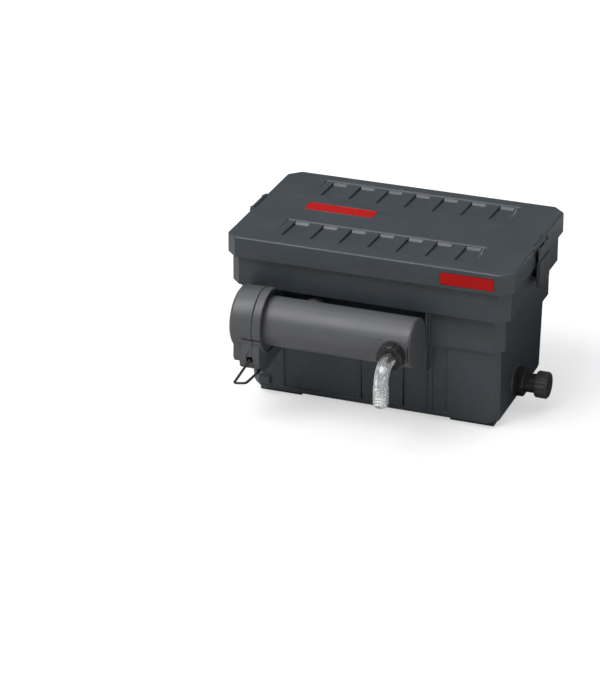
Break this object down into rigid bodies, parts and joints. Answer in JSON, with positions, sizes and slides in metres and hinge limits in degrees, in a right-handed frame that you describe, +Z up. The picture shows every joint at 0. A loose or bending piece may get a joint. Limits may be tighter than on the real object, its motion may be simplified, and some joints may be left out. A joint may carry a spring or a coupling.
{
  "type": "pond filter box with uv clarifier",
  "caption": "Rectangular pond filter box with a clip-on lid, a UV clarifier tube along the front, a clear hose elbow and a capped drain.",
  "frame": {"origin": "middle of the tub's underside, on the middle foot's face", "axes": "+X along the tub to the drain end, -Y to the front with the clarifier, +Z up"},
  "size_m": [0.5142, 0.4793, 0.2818],
  "materials": {
    "charcoal_plastic": "satin moulded charcoal polypropylene with a fine grain",
    "dark_plastic": "satin moulded dark grey plastic",
    "tube_plastic": "satin extruded grey plastic",
    "black_plastic": "black moulded plastic, soft gloss",
    "rubber": "matt black rubber",
    "red_mark": "plain red inlay",
    "steel": "drawn steel wire and plain steel screws",
    "lamp_white": "white lamp glass and socket",
    "quartz": "clear quartz glass",
    "clear_plastic": "clear moulded plastic",
    "foam_coarse": "open-cell coarse filter foam",
    "foam_medium": "open-cell medium filter foam",
    "foam_fine": "open-cell fine filter foam",
    "net": "knitted net bag"
  },
  "bodies": {
    "tub": {"container": "charcoal_plastic", "uv_collar": "dark_plastic", "uv_housing": "tube_plastic", "uv_end_cap": "tube_plastic", "inlet_partition": "black_plastic", "outlet_partition": "black_plastic", "support_grid": "black_plastic", "media_basket": "black_plastic", "uv_outlet_nipple": "black_plastic", "uv_outlet_nut": "black_plastic", "drain_nipple": "black_plastic", "drain_lock_nut": "black_plastic", "outlet_spigot": "black_plastic", "outlet_lock_nut": "black_plastic", "uv_outlet_seal": "rubber", "drain_gasket": "rubber", "outlet_gasket": "rubber", "bracket_screw_lower": "steel", "bracket_screw_upper": "steel", "foam_coarse": "foam_coarse", "foam_medium": "foam_medium", "foam_fine": "foam_fine", "media_bag": "net"},
    "lid_body": {"lid": "charcoal_plastic", "lid_seal": "rubber", "top_label": "red_mark", "front_label": "red_mark", "latch_pin_left": "steel", "latch_pin_right": "steel"},
    "latch_right_body": {"latch_right": "dark_plastic"},
    "latch_left_body": {"latch_left": "dark_plastic"},
    "lamp_head": {"uv_head_cover": "dark_plastic", "lamp_socket": "lamp_white", "head_o_ring": "rubber", "quartz_sleeve": "quartz", "sleeve_nut": "black_plastic", "uv_lamp": "lamp_white", "ballast": "black_plastic", "cable_gland": "black_plastic"},
    "bail": {"head_bail": "steel"},
    "union_nut_body": {"union_nut": "black_plastic"},
    "elbow_body": {"inlet_elbow": "clear_plastic", "elbow_o_ring": "rubber"},
    "drain_cap_body": {"drain_cap": "black_plastic", "drain_cap_seal": "rubber"}
  },
  "joints": [
    {"name": "lid_lift", "type": "slide", "parent": "tub", "child": "lid_body", "axis": [0, 0, 1], "range_m": [0, 0.2]},
    {"name": "latch_right_swing", "type": "hinge", "parent": "lid_body", "child": "latch_right_body", "pos_m": [0.2376, 0.003, 0.2785], "axis": [0, -1, 0], "range_deg": [0, 110]},
    {"name": "latch_left_swing", "type": "hinge", "parent": "lid_body", "child": "latch_left_body", "pos_m": [-0.2376, 0.003, 0.2785], "axis": [0, 1, 0], "range_deg": [0, 110]},
    {"name": "lamp_head_pull", "type": "slide", "parent": "tub", "child": "lamp_head", "axis": [-1, 0, 0], "range_m": [0, 0.24]},
    {"name": "bail_swing", "type": "hinge", "parent": "lamp_head", "child": "bail", "pos_m": [-0.163, -0.2332, 0.1095], "axis": [0, 1, 0], "range_deg": [0, 55]},
    {"name": "union_nut_turn", "type": "hinge", "parent": "tub", "child": "union_nut_body", "pos_m": [0.073, -0.235, 0.1568], "axis": [0, -1, 0], "continuous": true},
    {"name": "elbow_swivel", "type": "hinge", "parent": "tub", "child": "elbow_body", "pos_m": [0.073, -0.245, 0.1568], "axis": [0, -1, 0], "range_deg": [-90, 90]},
    {"name": "drain_cap_turn", "type": "hinge", "parent": "tub", "child": "drain_cap_body", "pos_m": [0.25, -0.024, 0.045], "axis": [1, 0, 0], "continuous": true}
  ]
}
